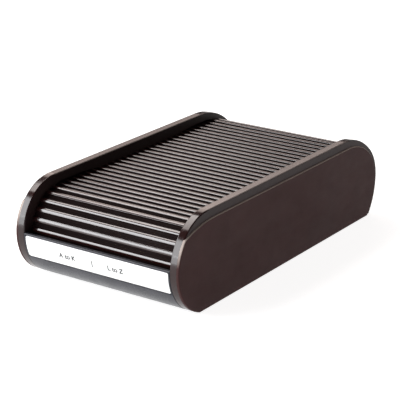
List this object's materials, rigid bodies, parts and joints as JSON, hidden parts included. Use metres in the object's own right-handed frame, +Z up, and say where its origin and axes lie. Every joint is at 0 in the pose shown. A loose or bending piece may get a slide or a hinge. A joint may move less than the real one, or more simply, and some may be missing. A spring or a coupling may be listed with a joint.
{
  "type": "roll-top desk card file",
  "caption": "Low desk card file: two rounded side cheeks carry a ribbed roll-back shutter over a tray of leaning index cards and tabbed dividers.",
  "frame": {"origin": "on the desk surface under the middle of the bounding box", "axes": "+X to the right seen from the front, +Y from the labelled front to the rear, +Z up"},
  "size_m": [0.13, 0.25, 0.0655],
  "materials": {
    "gloss_brown": "gloss",
    "satin_brown": "satin",
    "slat_brown": "gloss",
    "fascia_brown": "semi-gloss",
    "black_plastic": "matt",
    "screw_steel": "zinc plated",
    "rail_steel": "drawn bright",
    "foot_rubber": "matt",
    "label_paper": "coated card",
    "divider_card": "manila card",
    "white_card": "uncoated card"
  },
  "bodies": {
    "case": {"side_frame_left": "gloss_brown", "side_frame_right": "gloss_brown", "side_cover_left": "satin_brown", "side_cover_right": "satin_brown", "frame_screws_left": "screw_steel", "frame_screws_right": "screw_steel", "base_plate": "black_plastic", "base_screws": "screw_steel", "rubber_feet": "foot_rubber", "front_fascia": "fascia_brown", "label_card": "label_paper", "rear_panel": "fascia_brown", "card_tray": "black_plastic", "card_rails": "rail_steel", "back_rest": "black_plastic", "index_dividers": "divider_card", "index_cards": "white_card"},
    "top_shutter": {"top_slats": "slat_brown"},
    "leading_bar": {"leading_bar": "slat_brown"},
    "front_slat_01": {"front_slat_01": "slat_brown"},
    "front_slat_02": {"front_slat_02": "slat_brown"},
    "front_slat_03": {"front_slat_03": "slat_brown"},
    "front_slat_04": {"front_slat_04": "slat_brown"},
    "front_slat_05": {"front_slat_05": "slat_brown"},
    "front_slat_06": {"front_slat_06": "slat_brown"},
    "rear_slat_01": {"rear_slat_01": "slat_brown"},
    "rear_slat_02": {"rear_slat_02": "slat_brown"},
    "rear_slat_03": {"rear_slat_03": "slat_brown"},
    "rear_slat_04": {"rear_slat_04": "slat_brown"},
    "rear_slat_05": {"rear_slat_05": "slat_brown"},
    "rear_slat_06": {"rear_slat_06": "slat_brown"},
    "back_shutter": {"back_slats": "slat_brown"},
    "lower_slat": {"lower_slat": "slat_brown"},
    "tail_bar": {"tail_bar": "slat_brown"}
  },
  "joints": [
    {"name": "shutter_slide", "type": "slide", "parent": "case", "child": "top_shutter", "axis": [0, 1, 0], "range_m": [0, 0.04802]},
    {"name": "leading_bar_turn", "type": "hinge", "parent": "case", "child": "leading_bar", "pos_m": [0, -0.08984, 0.03064], "axis": [1, 0, 0], "range_deg": [-99.93, 0]},
    {"name": "front_slat_01_turn", "type": "hinge", "parent": "case", "child": "front_slat_01", "pos_m": [0, -0.08641, 0.02637], "axis": [1, 0, 0], "range_deg": [-84.46, 0]},
    {"name": "front_slat_02_turn", "type": "hinge", "parent": "case", "child": "front_slat_02", "pos_m": [0, -0.08298, 0.01951], "axis": [1, 0, 0], "range_deg": [-68.98, 0]},
    {"name": "front_slat_03_turn", "type": "hinge", "parent": "case", "child": "front_slat_03", "pos_m": [0, -0.07955, 0.0081], "axis": [1, 0, 0], "range_deg": [-53.51, 0]},
    {"name": "front_slat_04_turn", "type": "hinge", "parent": "case", "child": "front_slat_04", "pos_m": [0, -0.07612, -0.01301], "axis": [1, 0, 0], "range_deg": [-38.03, 0]},
    {"name": "front_slat_05_turn", "type": "hinge", "parent": "case", "child": "front_slat_05", "pos_m": [0, -0.07269, -0.06312], "axis": [1, 0, 0], "range_deg": [-22.56, 0]},
    {"name": "front_slat_06_turn", "type": "hinge", "parent": "case", "child": "front_slat_06", "pos_m": [0, -0.06926, -0.33038], "axis": [1, 0, 0], "range_deg": [-7.08, 0]},
    {"name": "rear_slat_01_turn", "type": "hinge", "parent": "case", "child": "rear_slat_01", "pos_m": [0, 0.06981, -0.12756], "axis": [1, 0, 0], "range_deg": [-14.79, 0]},
    {"name": "rear_slat_02_turn", "type": "hinge", "parent": "case", "child": "rear_slat_02", "pos_m": [0, 0.07324, -0.0338], "axis": [1, 0, 0], "range_deg": [-29.62, 0]},
    {"name": "rear_slat_03_turn", "type": "hinge", "parent": "case", "child": "rear_slat_03", "pos_m": [0, 0.07667, -0.0025], "axis": [1, 0, 0], "range_deg": [-44.45, 0]},
    {"name": "rear_slat_04_turn", "type": "hinge", "parent": "case", "child": "rear_slat_04", "pos_m": [0, 0.0801, 0.013], "axis": [1, 0, 0], "range_deg": [-59.29, 0]},
    {"name": "rear_slat_05_turn", "type": "hinge", "parent": "case", "child": "rear_slat_05", "pos_m": [0, 0.08353, 0.022], "axis": [1, 0, 0], "range_deg": [-74.12, 0]},
    {"name": "rear_slat_06_turn", "type": "hinge", "parent": "case", "child": "rear_slat_06", "pos_m": [0, 0.08696, 0.0276], "axis": [1, 0, 0], "range_deg": [-88.95, 0]},
    {"name": "back_shutter_turn", "type": "hinge", "parent": "case", "child": "back_shutter", "pos_m": [0, 0.0904, 0.0311], "axis": [1, 0, 0], "range_deg": [-103.83, 0]},
    {"name": "lower_slat_turn", "type": "hinge", "parent": "case", "child": "lower_slat", "pos_m": [0, 0.08745, 0.034], "axis": [1, 0, 0], "range_deg": [-91.05, 0]},
    {"name": "tail_bar_turn", "type": "hinge", "parent": "case", "child": "tail_bar", "pos_m": [0, 0.08402, 0.03924], "axis": [1, 0, 0], "range_deg": [-76.22, 0]}
  ],
  "couplings": [
    {"joint": "leading_bar_turn", "follows": "shutter_slide", "rad_per_m": -36.32},
    {"joint": "front_slat_01_turn", "follows": "shutter_slide", "rad_per_m": -30.696},
    {"joint": "front_slat_02_turn", "follows": "shutter_slide", "rad_per_m": -25.072},
    {"joint": "front_slat_03_turn", "follows": "shutter_slide", "rad_per_m": -19.447},
    {"joint": "front_slat_04_turn", "follows": "shutter_slide", "rad_per_m": -13.823},
    {"joint": "front_slat_05_turn", "follows": "shutter_slide", "rad_per_m": -8.1987},
    {"joint": "front_slat_06_turn", "follows": "shutter_slide", "rad_per_m": -2.5744},
    {"joint": "rear_slat_01_turn", "follows": "shutter_slide", "rad_per_m": -5.3751},
    {"joint": "rear_slat_02_turn", "follows": "shutter_slide", "rad_per_m": -10.766},
    {"joint": "rear_slat_03_turn", "follows": "shutter_slide", "rad_per_m": -16.157},
    {"joint": "rear_slat_04_turn", "follows": "shutter_slide", "rad_per_m": -21.548},
    {"joint": "rear_slat_05_turn", "follows": "shutter_slide", "rad_per_m": -26.938},
    {"joint": "rear_slat_06_turn", "follows": "shutter_slide", "rad_per_m": -32.329},
    {"joint": "back_shutter_turn", "follows": "shutter_slide", "rad_per_m": -37.736},
    {"joint": "lower_slat_turn", "follows": "shutter_slide", "rad_per_m": -33.093},
    {"joint": "tail_bar_turn", "follows": "shutter_slide", "rad_per_m": -27.702}
  ]
}
